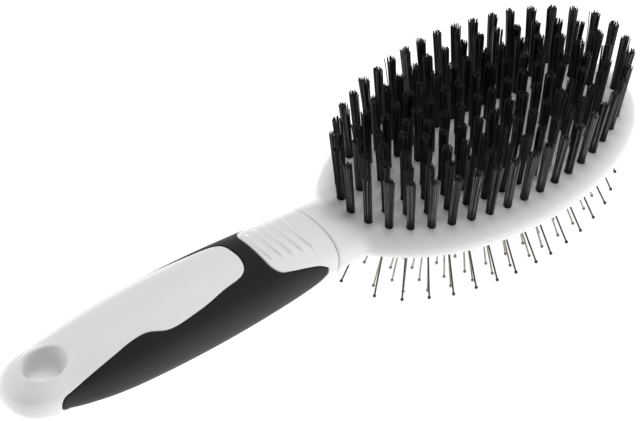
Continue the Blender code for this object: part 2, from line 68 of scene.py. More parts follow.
# Stage: each lamp has a name, a place and a size in metres and a power in watts
LAMPS = (("key", (0.16, 0.20, 0.70), 0.45, 2.7), ("right", (0.55, -0.70, 0.02), 0.5, 7.0),
         ("left", (-0.70, 0.55, 0.18), 0.5, 2.3))
SURROUNDINGS_STRENGTH = 0.42
FLOOR_HALF_SIZE = 3.0
FLOOR_STEPS = 12
FLOOR_DROP = 0.05 * MM
FLOOR_GLOW = 0.93

# Colours: one tint, or the two ends of a range
WHITE_TINT = (0.785, 0.78, 0.77)
CHARCOAL_TONES = ((0.008, 0.008, 0.008), (0.0125, 0.012, 0.0115))
BLACK_TONES = ((0.002, 0.002, 0.002), (0.014, 0.013, 0.012))
# Pale filaments: a lit tone for the outer row as painted light, and a darker tone for the inner rows as
# painted shade
LIT_OUTER_ROW_NYLON_TONES = ((0.07, 0.066, 0.062), (0.15, 0.142, 0.134))
SHADED_INNER_ROW_NYLON_TONES = ((0.025, 0.023, 0.021), (0.085, 0.080, 0.074))
CUT_END_TONES = ((0.004, 0.004, 0.004), (0.09, 0.085, 0.08))
# Pin steel: a shaded copy for the outer row and a lit, paler copy for the inner rows, as painted shade and
# painted light
SHADED_OUTER_PIN_TONES = ((0.045, 0.040, 0.035), (0.15, 0.135, 0.115))
LIT_INNER_PIN_TONES = ((0.26, 0.245, 0.22), (0.46, 0.435, 0.39))
RUBBER_TONES = ((0.030, 0.030, 0.031), (0.052, 0.051, 0.050))
RETAINER_TONES = ((0.50, 0.50, 0.49), (0.58, 0.58, 0.57))
FLOOR_TONES = ((0.30, 0.30, 0.30), (0.32, 0.32, 0.32))

# Angles in degrees above which an edge is shaded crisp
HEAD_CREASE = 40
HANDLE_CREASE = 50
RUBBER_CREASE = 50
PIN_CREASE = 50
TUFT_CREASE = 60

# Head: OPENING_MOUTH is (z, growth) in mm
PARTING_Z = -4.0 * MM
PARTING_GAP = 0.04 * MM
BEZEL_DEPTH = 5.0 * MM
HEAD_HALF_LENGTH = 54.3 * MM
HEAD_HALF_WIDTH = 30.8 * MM
RIM_ROUNDING = 8.0 * MM
RIM_POWER = 2.2
NECK_HALF_WIDTH = 10.8 * MM
NECK_HALF_HEIGHT = 7.65 * MM
NECK_BLEND = 2.0 * MM
NECK_FADE_START = -61.0 * MM
NECK_FADE_END = -46.0 * MM
SEAM_X = -61.0 * MM
SEAM_ROUNDING = 0.6 * MM
SEAM_GAP = 0.12 * MM
SEAM_EASE = (0.0, 0.35, 0.7)
SECTION_POWER = 2.3
SPINE_SHARE = 1 - (HEAD_HALF_WIDTH / HEAD_HALF_LENGTH) ** 2
SPINE_FADE = (-46.0 * MM, -15.0 * MM)
RECESS = (50.8 * MM, 26.8 * MM)
PLATE_THICKNESS = 3.0 * MM
CUSHION_X = 1.8 * MM
OPENING = (46.6 * MM, 21.6 * MM)
OPENING_MOUTH = ((-12.0, 1.6), (-9.2, 1.6), (-8.97, 1.1), (-8.75, 0.7), (-8.4, 0.3), (-8.0, 0.08),
                 (-7.5, 0.0), (-3.0, 0.0))
OPENING_SIDES = 160
RECESS_SIDES = 120
OUTLINE_STEPS = 600
OUTLINE_COLUMNS = 190
RIM_STEPS = 18
FLAT_STEPS = 16

# Tufts: TUFT_ROWS are (half length, half width, tufts, stretches), TUFT_MIDDLE is (half length, tufts)
TUFT_ROWS = ((48.0 * MM, 24.0 * MM, 40, 4), (42.0 * MM, 18.2 * MM, 34, 4),
             (35.5 * MM, 12.4 * MM, 28, 4), (28.5 * MM, 6.5 * MM, 22, 2))
TUFT_MIDDLE = (20.0 * MM, 8)
TUFT_HEIGHT = 19.3 * MM
TUFT_FAN = (0.098, 0.113)
TUFT_LEAN = -0.077
TUFT_FOOT_Z = -2.6 * MM
TUFT_HOLE_RADIUS = 1.2 * MM
TUFT_HOLE_LEVELS = (-5.0 * MM, 1.5 * MM)
TUFT_HOLE_SIDES = 20
OVAL_STEPS = 1440
FILAMENT_RADIUS = 0.15 * MM
FILAMENT_TAPER = 0.06
FILAMENT_SPACING = 0.34 * MM
FILAMENT_RINGS = 3
FILAMENT_SIDES = 5
FILAMENT_LEVELS = (0.0, 0.3, 0.62, 0.86, 1.0)
FILAMENT_FLARE = 0.32
FLARE_POWER = 1.6
BEND_POWER = 2.2
PALE_SHARE = 0.42
# Painted shade: heights above the tufted face over which the filament colour goes from darkened at the root
# to full
ROOT_SHADE = (1.0 * MM, 5.5 * MM)

# Chance in the tufts: spreads of a whole tuft, then of each filament
TUFT_SEED = 5
TUFT_SWIRL = 0.10
TUFT_SWAY = 0.16 * MM
TUFT_FLARE_RANGE = (0.6, 1.5)
TUFT_TRIM = 0.25 * MM
FILAMENT_DRIFT = 0.11 * MM
WILD_SHARE = 0.12
WILD_FACTOR = 2.4
LENGTH_SPREAD = 0.36 * MM

# Pins and cushion: PIN_ROWS are like TUFT_ROWS, and then the start as a share of the spacing
PIN_ROWS = ((42.6 * MM, 15.0 * MM, 33, 4, 0.0), (37.8 * MM, 12.15 * MM, 30, 4, 0.56),
            (33.0 * MM, 8.5 * MM, 24, 2, 0.66), (28.2 * MM, 4.0 * MM, 20, 2, 0.08))
PIN_MIDDLE = (22.0 * MM, 9)
PIN_LENGTH = 19.0 * MM
PIN_RADIUS = 0.25 * MM
PIN_FOOT = 2.4 * MM
PIN_STATIONS = (0.3, 0.7)
PIN_NECK = 0.25 * MM
PIN_SIDES = 12
BALL_RADIUS = 0.5 * MM
BALL_STEPS = 8
BALL_END = math.radians(168)
PIN_FLARE = (0.45, 1.09)
PIN_SEED = 11
PIN_WANDER = 0.016
PIN_COLLAR = ((-0.3 * MM, 1.15 * MM), (0.0, 1.1 * MM), (0.16 * MM, 0.98 * MM), (0.3 * MM, 0.72 * MM),
              (0.38 * MM, 0.5 * MM), (0.3 * MM, 0.34 * MM), (0.1 * MM, 0.3 * MM))
PIN_COLLAR_SIDES = 16
CUSHION_CLEARANCE = 0.4 * MM
CUSHION_THICKNESS = 1.2 * MM
CUSHION_FLANGE_Z = -7.8 * MM
CUSHION_FLANGE = 3.0 * MM
DOME_DEPTH = 6.4 * MM
DOME_APEX_Z = -14.6 * MM
DOME_SIZE = (OPENING[0] - CUSHION_CLEARANCE, OPENING[1] - CUSHION_CLEARANCE)
DOME_SHARE = 0.985
DOME_EDGE = ((0.997, 0.25 * MM), (1.0, 0.6 * MM))
DOME_RINGS = 32
DOME_SIDES = 120

# Handle: HANDLE_SECTIONS are (x, half width, half height, height of the middle) in mm,
# and the edges are (x, distance from the middle plane) in mm
TAIL_REACH = 163.7 * MM
TAIL_CAP = 13.7 * MM
TAIL_POWERS = (2.3, 2.1)
HANDLE_SECTIONS = ((-61.0, 10.8, 7.65, -4.0), (-80.0, 12.0, 9.6, -3.8), (-100.0, 12.7, 10.6, -3.3),
                   (-120.0, 12.6, 10.4, -2.85), (-135.0, 11.8, 9.3, -2.5), (-150.0, 9.9, 7.1, -1.6))
PANEL_FAR_EDGE = ((-88.0, 0.0), (-88.4, 5.0), (-89.7, 7.0), (-92.5, 8.1), (-98.5, 8.9), (-105.0, 9.8),
                  (-110.5, 10.5), (-115.5, 10.9), (-119.5, 11.0), (-124.5, 10.8), (-129.5, 10.6),
                  (-134.5, 10.3), (-141.0, 9.8), (-147.5, 9.5), (-152.0, 9.6), (-154.6, 10.8))
PANEL_NEAR_EDGE = ((-88.0, 0.0), (-88.4, 2.2), (-89.7, 4.8), (-92.5, 6.4), (-98.5, 7.35), (-105.0, 8.6),
                   (-110.5, 9.2), (-115.5, 9.55), (-119.5, 9.2), (-124.5, 7.6), (-129.5, 7.55),
                   (-134.5, 8.15), (-141.0, 8.8), (-147.5, 9.3), (-152.0, 9.6), (-154.6, 10.8))
COLLAR_EDGE = ((-83.2, 0.0), (-83.1, 4.3), (-82.6, 7.2), (-80.6, 9.2), (-77.0, 9.9), (-72.0, 10.4),
               (-68.6, 10.7), (-66.2, 10.97), (-65.1, 11.04), (-64.7, 11.2))
WRAP_RADIUS = 11.0 * MM
EDGE_ROUNDING = 0.4 * MM
EDGE_DEPTH = 1.5 * MM
EDGE_GAP = 0.16 * MM
EDGE_TURNS = (0, 22.5, 45, 67.5, 90)
EDGE_STEPS = 14
COLLAR_EDGE_STEPS = 26
SECTION_STEPS = 24
GRIP_COLUMNS = 40
GRIP_BRIDGE_STEPS = 12
COLLAR_COLUMNS = 56
COLLAR_ROWS = 14
PANEL_COLUMNS = 34
RIB_FIRST_X = -81.4 * MM
RIB_PITCH = 3.1 * MM
RIB_HALF_WIDTH = 0.85 * MM
RIB_HEIGHT = 0.54 * MM
RIB_BOW = 1.4 * MM
RIB_HALF_SPANS = (6.4 * MM, 7.0 * MM, 7.5 * MM, 8.0 * MM, 8.4 * MM)
RIB_FADE = 2.4 * MM
RIB_CROWN_POWER = 1.5
HOLE_X = -151.5 * MM
HOLE_MOUTH = (6.1 * MM, 5.0 * MM)
HOLE_WAIST = 0.69
HOLE_LIP = ((1.34, 0.0), (1.28, -0.04), (1.21, -0.14), (1.15, -0.20), (1.10, -0.18), (1.05, -0.02),
            (1.01, 0.28), (0.985, 0.7))
HOLE_LIP_STEPS = 26
HOLE_WALL_STEPS = 16
HOLE_WALL_POWER = 1.9
TAIL_BLOCK_X = -139.0 * MM
TAIL_TIP_STEPS = 18
CORE_INSET = 1.25 * MM
CORE_START_X = SEAM_X - 0.3 * MM
CORE_REACH = -157.0 * MM - SEAM_X
CORE_STEPS = 32
CORE_SIDES = 48


def zero():
    """The middle of the tufted face, from which everything is drawn."""
    tufts_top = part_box("tuft_row_5")[1]
    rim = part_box("pin_side_shell")[1]
    return Vector((rim.x - HEAD_HALF_LENGTH, 0.0, tufts_top.z - TUFT_HEIGHT))


ZERO = zero()


# ---------------------------------------------------------------- mesh helpers

class Sheet:
    """Points and faces of one piece, put together from grids that share their edges."""

    def __init__(self):
        self.points = []
        self.faces = []

    def grid(self, rows, closed=False):
        """Quads between rows of points; closed joins each row's last point to its first."""
        start = len(self.points)
        width = len(rows[0])
        for row in rows:
            self.points.extend(row)
        for i in range(len(rows) - 1):
            for j in range(width if closed else width - 1):
                a = start + i * width + j
                b = start + i * width + (j + 1) % width
                self.faces.append((a, b, b + width, a + width))

    def cap(self, ring):
        """One flat face over a ring of points."""
        start = len(self.points)
        self.points.extend(ring)
        self.faces.append(tuple(range(start, start + len(ring))))

    def body(self, rings):
        """A closed body through rings of points, with a flat face over each end."""
        self.grid(rings, closed=True)
        self.cap(rings[0])
        self.cap(rings[-1])

    def mesh(self, name, weld=2e-6):
        """The joined mesh, with the faces turned outwards."""
        made = bpy.data.meshes.new(name)
        made.from_pydata([Vector(point) + ZERO for point in self.points], [], self.faces)
        made.validate()
        if weld:
            work = bmesh.new()
            work.from_mesh(made)
            bmesh.ops.remove_doubles(work, verts=work.verts, dist=weld)
            bmesh.ops.dissolve_degenerate(work, edges=work.edges, dist=weld / 4)
            bmesh.ops.recalc_face_normals(work, faces=work.faces)
            work.to_mesh(made)
            work.free()
        return made


def add_piece(name, mesh, look, body, nodes, angle):
    """A visible piece that rides on a body and stands for CAD nodes."""
    piece = bpy.data.objects.new(name, mesh)
    bpy.context.collection.objects.link(piece)
    mesh.materials.clear()
    for one in look if isinstance(look, tuple) else (look,):
        mesh.materials.append(one)
    shade(piece, angle)
    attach(piece, body)
    if nodes:
        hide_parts(*nodes)
    return piece


def shade(piece, angle):
    """Smooth shading with crisp edges where the surface turns sharply."""
    piece.data.shade_smooth()
    piece.data.set_sharp_from_angle(angle=math.radians(angle))


def cut(piece, cutter_mesh):
    """Cuts a closed mesh out of a piece for good."""
    cutter = bpy.data.objects.new("cutter", cutter_mesh)
    bpy.context.collection.objects.link(cutter)
    step = piece.modifiers.new("cut", "BOOLEAN")
    step.operation = "DIFFERENCE"
    step.solver = "EXACT"
    step.object = cutter
    bpy.context.view_layer.update()
    shown = piece.evaluated_get(bpy.context.evaluated_depsgraph_get())
    made = bpy.data.meshes.new_from_object(shown)
    piece.modifiers.clear()
    old = piece.data
    piece.data = made
    made.name = old.name
    bpy.data.meshes.remove(old)
    bpy.data.objects.remove(cutter)


def curve_through(points, steps):
    """Points on a smooth curve through the given ones."""
    first = [2 * a - b for a, b in zip(points[0], points[1])]
    last = [2 * a - b for a, b in zip(points[-1], points[-2])]
    padded = [first, *points, last]
    made = []
    for k in range(1, len(padded) - 2):
        for step in range(steps):
            t = step / steps
            made.append([((2 * b) + (c - a) * t + (2 * a - 5 * b + 4 * c - d) * t * t
                          + (3 * b - a - 3 * c + d) * t ** 3) / 2
                         for a, b, c, d in zip(*padded[k - 1:k + 3])])
    made.append(list(points[-1]))
    return made


def spots(line, steps, count):
    """Where each step of count falls along a line of points: (point before, share of the way to the next)."""
    reach = [0.0]
    for a, b in zip(line, line[1:]):
        reach.append(reach[-1] + math.dist(a, b))
    found = []
    k = 0
    for step in steps:
        wanted = reach[-1] * step / count
        while k < len(reach) - 2 and reach[k + 1] < wanted:
            k += 1
        found.append((k, (wanted - reach[k]) / max(1e-12, reach[k + 1] - reach[k])))
    return found


def between(a, b, share):
    """The point a share of the way from (x, y) a to b."""
    return a[0] + share * (b[0] - a[0]), a[1] + share * (b[1] - a[1])


def smoothstep(low, high, value):
    """0 below low, 1 above high, and a smooth turn between."""
    t = min(1.0, max(0.0, (value - low) / (high - low)))
    return t * t * (3 - 2 * t)


# ---------------------------------------------------------------- materials

class Nodes:
    """A material under construction, with short ways to add its nodes."""

    def __init__(self, name):
        self.material = bpy.data.materials.new(name)
        self.material.use_nodes = True
        self.tree = self.material.node_tree
        self.shader = self.tree.nodes["Principled BSDF"]
        self.place = self.tree.nodes.new("ShaderNodeTexCoord").outputs["Object"]

    def link(self, source, target):
        self.tree.links.new(source, target)

    def set(self, **values):
        for key, value in values.items():
            self.shader.inputs[key.replace("_", " ")].default_value = value

    def stretched(self, scale):
        """The place scaled by a different amount along each axis."""
        mapping = self.tree.nodes.new("ShaderNodeMapping")
        mapping.inputs["Scale"].default_value = scale
        self.link(self.place, mapping.inputs["Vector"])
        return mapping.outputs["Vector"]

    def noise(self, scale, detail=2.0, roughness=0.5, place=None):
        node = self.tree.nodes.new("ShaderNodeTexNoise")
        node.inputs["Scale"].default_value = scale
        node.inputs["Detail"].default_value = detail
        node.inputs["Roughness"].default_value = roughness
        self.link(place or self.place, node.inputs["Vector"])
        return node.outputs["Fac"]

    def cells(self, scale):
        node = self.tree.nodes.new("ShaderNodeTexVoronoi")
        node.inputs["Scale"].default_value = scale
        self.link(self.place, node.inputs["Vector"])
        return node.outputs["Distance"]

    def ramp(self, source, stops):
        """Colour against a value from 0 to 1: stops are (value, colour)."""
        node = self.tree.nodes.new("ShaderNodeValToRGB")
        band = node.color_ramp
        while len(band.elements) < len(stops):
            band.elements.new(0.5)
        for element, (value, colour) in zip(band.elements, stops):
            element.position = value
            element.color = (*colour, 1.0)
        self.link(source, node.inputs["Fac"])
        return node.outputs["Color"]

    def spread(self, source, low, high):
        """A value from 0 to 1 brought to another range."""
        node = self.tree.nodes.new("ShaderNodeMapRange")
        node.inputs["To Min"].default_value = low
        node.inputs["To Max"].default_value = high
        self.link(source, node.inputs["Value"])
        return node.outputs["Result"]

    def rise(self, low, high, first, last):
        """A value that goes from first to last between two heights."""
        split = self.tree.nodes.new("ShaderNodeSeparateXYZ")
        self.link(self.place, split.inputs["Vector"])
        node = self.tree.nodes.new("ShaderNodeMapRange")
        node.interpolation_type = "SMOOTHSTEP"
        for key, value in (("From Min", low), ("From Max", high), ("To Min", first), ("To Max", last)):
            node.inputs[key].default_value = value
        self.link(split.outputs["Z"], node.inputs["Value"])
        return node.outputs["Result"]

    def scaled(self, colour, value):
        """A colour made darker by a value."""
        node = self.tree.nodes.new("ShaderNodeVectorMath")
        node.operation = "SCALE"
        self.link(colour, node.inputs[0])
        self.link(value, node.inputs["Scale"])
        return node.outputs["Vector"]

    def bump(self, height, strength, distance, below=None):
        node = self.tree.nodes.new("ShaderNodeBump")
        node.inputs["Strength"].default_value = strength
        node.inputs["Distance"].default_value = distance
        self.link(height, node.inputs["Height"])
        if below:
            self.link(below, node.inputs["Normal"])
        return node.outputs["Normal"]


def white_plastic(name, tint):
    """Satin white moulded plastic with a faint mottle, flow marks and hairline wear."""
    made = Nodes(name)
    mottle = made.noise(45, 3)
    dark = tuple(value * 0.965 for value in tint)
    made.link(made.ramp(mottle, ((0.3, dark), (0.7, tint))), made.shader.inputs["Base Color"])
    flow = made.noise(130, 4, 0.6, made.stretched((0.35, 1.6, 1.6)))
    made.link(made.spread(flow, 0.27, 0.40), made.shader.inputs["Roughness"])
    grain = made.bump(made.noise(2600, 2), 0.10, 0.03 * MM)
    made.link(made.bump(made.noise(60, 2), 0.05, 0.25 * MM, grain), made.shader.inputs["Normal"])
    made.set(IOR=1.5, Coat_Weight=0.7, Coat_Roughness=0.22)
    made.set(Subsurface_Weight=0.06, Subsurface_Scale=0.002, Subsurface_Radius=(1.0, 0.9, 0.8))
    return made.material


def charcoal_rubber():
    """Soft-touch over-mould: fine pebbled grain, dusty sheen, slightly polished high spots."""
    made = Nodes("charcoal_soft_touch")
    wear = made.noise(38, 4, 0.6)
    dark, light = CHARCOAL_TONES
    made.link(made.ramp(wear, ((0.3, dark), (0.72, light))), made.shader.inputs["Base Color"])
    made.link(made.spread(wear, 0.62, 0.48), made.shader.inputs["Roughness"])
    pebble = made.bump(made.cells(1900), 0.32, 0.045 * MM)
    made.link(made.bump(made.noise(900, 3), 0.2, 0.05 * MM, pebble), made.shader.inputs["Normal"])
    made.set(IOR=1.45, Sheen_Weight=0.04, Sheen_Roughness=0.5)
    made.shader.inputs["Specular IOR Level"].default_value = 0.36
    return made.material


def nylon(name, dark, light):
    """Black nylon filament: slightly glossy, streaked along its length, with painted shade that darkens it
    towards the root.
    """
    made = Nodes(name)
    streak = made.noise(2300, 2, 0.5, made.stretched((1.0, 1.0, 0.03)))
    colour = made.ramp(streak, ((0.35, dark), (0.65, light)))
    # Painted shade: the colour is darkened near the root, where the plate and the other tufts keep light out
    painted_root_shade = made.rise(ZERO.z + ROOT_SHADE[0], ZERO.z + ROOT_SHADE[1], 0.1, 1.0)
    made.link(made.scaled(colour, painted_root_shade), made.shader.inputs["Base Color"])
    made.link(made.spread(streak, 0.24, 0.42), made.shader.inputs["Roughness"])
    made.link(made.bump(streak, 0.15, 0.02 * MM), made.shader.inputs["Normal"])
    made.shader.inputs["Specular IOR Level"].default_value = 0.3
    return made.material


def nylon_ends():
    """The cut ends of the filaments: black with pale specks."""
    made = Nodes("nylon_cut_end")
    speck = made.noise(2200, 2)
    dark, light = CUT_END_TONES
    made.link(made.ramp(speck, ((0.50, dark), (0.70, light))), made.shader.inputs["Base Color"])
    made.link(made.spread(speck, 0.35, 0.6), made.shader.inputs["Roughness"])
    made.shader.inputs["Specular IOR Level"].default_value = 0.25
    return made.material


def pin_steel(name, dark, light):
    """Drawn steel wire with fine lines along it."""
    made = Nodes(name)
    line = made.noise(900, 3, 0.6, made.stretched((1.0, 1.0, 0.08)))
    made.link(made.ramp(line, ((0.3, dark), (0.7, light))), made.shader.inputs["Base Color"])
    made.link(made.spread(line, 0.2, 0.36), made.shader.inputs["Roughness"])
    made.link(made.bump(line, 0.1, 0.01 * MM), made.shader.inputs["Normal"])
    made.set(Metallic=1.0)
    return made.material


def cushion_rubber():
    """Smooth black rubber with a faint bloom."""
    made = Nodes("cushion_black_rubber")
    bloom = made.noise(70, 4, 0.6)
    dark, light = RUBBER_TONES
    made.link(made.ramp(bloom, ((0.3, dark), (0.75, light))), made.shader.inputs["Base Color"])
    made.link(made.spread(bloom, 0.42, 0.58), made.shader.inputs["Roughness"])
    made.link(made.bump(made.noise(1400, 2), 0.15, 0.03 * MM), made.shader.inputs["Normal"])
    made.set(Sheen_Weight=0.1)
    return made.material


def retainer_plastic():
    """Plain grey moulded plastic inside the head."""
    made = Nodes("retainer_grey_plastic")
    mottle = made.noise(90, 3)
    dark, light = RETAINER_TONES
    made.link(made.ramp(mottle, ((0.3, dark), (0.7, light))), made.shader.inputs["Base Color"])
    made.link(made.spread(mottle, 0.45, 0.6), made.shader.inputs["Roughness"])
    made.link(made.bump(made.noise(1500, 2), 0.2, 0.03 * MM), made.shader.inputs["Normal"])
    return made.material


# ---------------------------------------------------------------- head

def head_half_width(x):
    """Half width of the head's outline, running smoothly into the neck."""
    oval = HEAD_HALF_WIDTH * math.sqrt(max(0.0, 1 - (x / HEAD_HALF_LENGTH) ** 2))
    if x > 0:
        return oval
    apart = oval - NECK_HALF_WIDTH
    return (oval + NECK_HALF_WIDTH + math.sqrt(apart ** 2 + NECK_BLEND ** 2)) / 2


def half_outline():
    """Evenly spaced (x, y, outward direction) along one side, from the seam to the tip."""
    neck_xs = [SEAM_X * (1 - i / OUTLINE_STEPS) for i in range(OUTLINE_STEPS)]
    fine = [(x, head_half_width(x)) for x in neck_xs]
    turns = [math.pi / 2 * (1 - i / OUTLINE_STEPS) for i in range(OUTLINE_STEPS + 1)]
    fine += [(HEAD_HALF_LENGTH * math.cos(t), HEAD_HALF_WIDTH * math.sin(t)) for t in turns]
    found = []
    for k, share in spots(fine, range(OUTLINE_COLUMNS + 1), OUTLINE_COLUMNS):
        ahead = fine[min(k + 2, len(fine) - 1)]
        behind = fine[max(k - 1, 0)]
        dx, dy = ahead[0] - behind[0], ahead[1] - behind[1]
        size = math.hypot(dx, dy)
        found.append((*between(fine[k], fine[k + 1], share), (-dy / size, dx / size)))
    found[0] = (found[0][0], found[0][1], (0.0, 1.0))
    found[-1] = (found[-1][0], 0.0, (1.0, 0.0))
    return found


def spine_x(x):
    """Where the line inwards from an outline point reaches the middle line."""
    share = 1 + (SPINE_SHARE - 1) * smoothstep(*SPINE_FADE, x)
    return x * share


def head_height(x, y, inside, side, parting, reach):
    """Height of the head's upper (side 1) or lower (side -1) face, `inside` from its outline."""
    inward = 1 - min(1.0, inside / RIM_ROUNDING)
    head = reach * math.sqrt(max(0.0, 1 - inward ** RIM_POWER))
    if x >= NECK_FADE_END:
        return parting + head
    share = 1 - smoothstep(NECK_FADE_START, NECK_FADE_END, x)
    across = min(1.0, abs(y) / head_half_width(x))
    tall = NECK_HALF_HEIGHT - abs(parting - PARTING_Z)
    neck = side * tall * (1 - across ** SECTION_POWER) ** (1 / SECTION_POWER)
    return parting + head * (1 - share) + neck * share


def seam_scale(x):
    """How far the section is drawn in where it rounds off into the seam; 1 away from it."""
    near = max(0.0, 1 - (x - SEAM_X) / SEAM_ROUNDING)
    return 1 - SEAM_ROUNDING * (1 - math.sqrt(max(0.0, 1 - near * near))) / NECK_HALF_WIDTH


def head_row(x, y, outward, side, parting, reach):
    """Points from (x, y) on the outline in to the middle line and out to the other side."""
    spine = spine_x(x)
    whole = (x - spine) * outward[0] + y * outward[1]
    depths = [RIM_ROUNDING * (1 - math.cos(math.pi / 2 * k / RIM_STEPS)) for k in range(RIM_STEPS)]
    depths += [RIM_ROUNDING + (whole - RIM_ROUNDING) * k / FLAT_STEPS for k in range(FLAT_STEPS + 1)]
    row = []
    for depth in depths:
        share = depth / whole
        px, py = x + (spine - x) * share, y * (1 - share)
        z = head_height(px, py, depth, side, parting, reach)
        scale = seam_scale(px)
        row.append((px, py * scale, parting + (z - parting) * scale))
    return row + [(px, -py, pz) for px, py, pz in reversed(row[:-1])]


def seam_rows(first, second, parting):
    """Extra rows from the first to near the second, which carry the rounding at the seam."""
    rows = []
    for t in SEAM_EASE:
        row = [tuple(a + (b - a) * t for a, b in zip(p, q)) for p, q in zip(first, second)]
        start_x, start_y, _ = row[0]
        grow = head_half_width(start_x) * seam_scale(start_x) / start_y
        rows.append([(x, y * grow, parting + (z - parting) * grow) for x, y, z in row])
    return rows


def head_half(side, parting, reach):
    """Closed body of one half of the head and neck."""
    rows = [head_row(x, y, outward, side, parting, reach) for x, y, outward in half_outline()]
    rows = seam_rows(rows[0], rows[1], parting) + rows[1:]
    flat = [[(x, y, parting) for x, y, _ in row] for row in rows]
    sheet = Sheet()
    sheet.grid(rows)
    sheet.grid(flat)
    sheet.grid([rows[0], flat[0]])
    return sheet


def ring_at(half_length, half_width, z, count, centre_x=0.0):
    """An oval ring of points."""
    turns = [2 * math.pi * i / count for i in range(count)]
    return [(centre_x + half_length * math.cos(t), half_width * math.sin(t), z) for t in turns]


def prism(half_length, half_width, levels, centre_x, count):
    """A closed oval block; levels are (z, growth)."""
    sheet = Sheet()
    sheet.body([ring_at(half_length + grow, half_width + grow, z, count, centre_x) for z, grow in levels])
    return sheet.mesh("prism")


def tuft_holes(places):
    """Round drills along the axes of the tufts, as one mesh."""
    sheet = Sheet()
    for place in places:
        rings = []
        for z in TUFT_HOLE_LEVELS:
            x, y = tuft_axis(place, z)
            circle = ring_at(TUFT_HOLE_RADIUS, TUFT_HOLE_RADIUS, z, TUFT_HOLE_SIDES)
            rings.append([(x + px, y + py, pz) for px, py, pz in circle])
        sheet.body(rings)
    return sheet.mesh("holes")


def add_head(look, tuft_places):
    """Upper and lower halves of the head with their holes, recess and opening."""
    top = head_half(1, PARTING_Z, -PARTING_Z)
    piece = add_piece("head_top", top.mesh("head_top"), look, "brush", ("bristle_plate",),
                      HEAD_CREASE)
    recess = ((PARTING_Z - MM, 0.0), (-PLATE_THICKNESS, 0.0))
    cut(piece, prism(*RECESS, recess, CUSHION_X, RECESS_SIDES))
    cut(piece, tuft_holes(tuft_places))
    shade(piece, HEAD_CREASE)
    bottom = head_half(-1, PARTING_Z - PARTING_GAP, -BEZEL_DEPTH + PARTING_GAP)
    piece = add_piece("head_bottom", bottom.mesh("head_bottom"), look, "brush",
                      ("pin_side_shell",), HEAD_CREASE)
    mouth = [(z * MM, grow * MM) for z, grow in OPENING_MOUTH]
    cut(piece, prism(*OPENING, mouth, CUSHION_X, OPENING_SIDES))
    shade(piece, HEAD_CREASE)


# ---------------------------------------------------------------- rows of tufts and pins

def oval_places(half_length, half_width, count, start=0.0):
    """Evenly spaced places around an oval, counted from its tail end."""
    turns = [math.pi + 2 * math.pi * i / OVAL_STEPS for i in range(OVAL_STEPS + 1)]
    outline = [(half_length * math.cos(t), half_width * math.sin(t)) for t in turns]
    steps = [i + start for i in range(count)]
    return [between(outline[k], outline[k + 1], share) for k, share in spots(outline, steps, count)]


def stretches(rows, middle):
    """Names and places of each stretch of each row, the middle row last."""
    found = []
    for number, (half_length, half_width, count, parts, *start) in enumerate(rows, 1):
        places = oval_places(half_length, half_width, count, *start)
        for part in range(parts):
            low, high = count * part // parts, count * (part + 1) // parts
            found.append((f"{number}{'abcd'[part]}", places[low:high]))
    half_span, count = middle
    line = [(half_span * (2 * i / (count - 1) - 1), 0.0) for i in range(count)]
    found.append((str(len(rows) + 1), line))
    return found


def tuft_axis(place, z):
    """Where a tuft's middle is at a height."""
    x, y = place
    lean_x = TUFT_FAN[0] * x / TUFT_ROWS[0][0] + TUFT_LEAN
    lean_y = TUFT_FAN[1] * y / TUFT_ROWS[0][1]
    return x + lean_x * z, y + lean_y * z


def bundle():
    """Places of the filaments in a tightly packed tuft."""
    found = [(0.0, 0.0)]
    for ring in range(1, FILAMENT_RINGS + 1):
        for side in range(6):
            a = math.radians(60 * side)
            b = math.radians(60 * (side + 1))
            for k in range(ring):
                share = k / ring
                found.append((ring * ((1 - share) * math.cos(a) + share * math.cos(b)),
                              ring * ((1 - share) * math.sin(a) + share * math.sin(b))))
    return found


def add_tube(rings, points, faces):
    """Adds a closed tube through rings of points: its sides, its first end and its last."""
    start = len(points)
    sides = len(rings[0])
    for ring in rings:
        points.extend(ring)
    for band in range(len(rings) - 1):
        for k in range(sides):
            a = start + band * sides + k
            b = start + band * sides + (k + 1) % sides
            faces.append((a, b, b + sides, a + sides))
    faces.append(tuple(start + sides - 1 - k for k in range(sides)))
    last = start + (len(rings) - 1) * sides
    faces.append(tuple(last + k for k in range(sides)))


def draw_tuft(draw):
    """What chance gives a whole tuft."""
    return {
        "turn": draw.uniform(0, math.pi / 3),
        "swirl": draw.gauss(0, TUFT_SWIRL),
        "sway": (draw.gauss(0, TUFT_SWAY), draw.gauss(0, TUFT_SWAY)),
        "flare": FILAMENT_FLARE * draw.uniform(*TUFT_FLARE_RANGE),
        "trimmed": draw.uniform(0.0, TUFT_TRIM),
    }


def filament(place, offset, tuft, drift, length):
    """Rings of points along one filament, from its foot to its cut end."""
    px, py = offset
    rings = []
    for t in FILAMENT_LEVELS:
        z = TUFT_FOOT_Z + (length - TUFT_FOOT_Z) * t
        cx, cy = tuft_axis(place, z)
        angle = tuft["turn"] + tuft["swirl"] * t
        scale = FILAMENT_SPACING * (1 + tuft["flare"] * t ** FLARE_POWER)
        bend = t ** BEND_POWER
        cx += scale * (px * math.cos(angle) - py * math.sin(angle)) + (drift[0] + tuft["sway"][0]) * bend
        cy += scale * (px * math.sin(angle) + py * math.cos(angle)) + (drift[1] + tuft["sway"][1]) * bend
        radius = FILAMENT_RADIUS * (1 - FILAMENT_TAPER * t)
        turns = [2 * math.pi * corner / FILAMENT_SIDES + tuft["turn"] for corner in range(FILAMENT_SIDES)]
        rings.append([(cx + radius * math.cos(a) + ZERO.x, cy + radius * math.sin(a) + ZERO.y, z + ZERO.z)
                      for a in turns])
    return rings


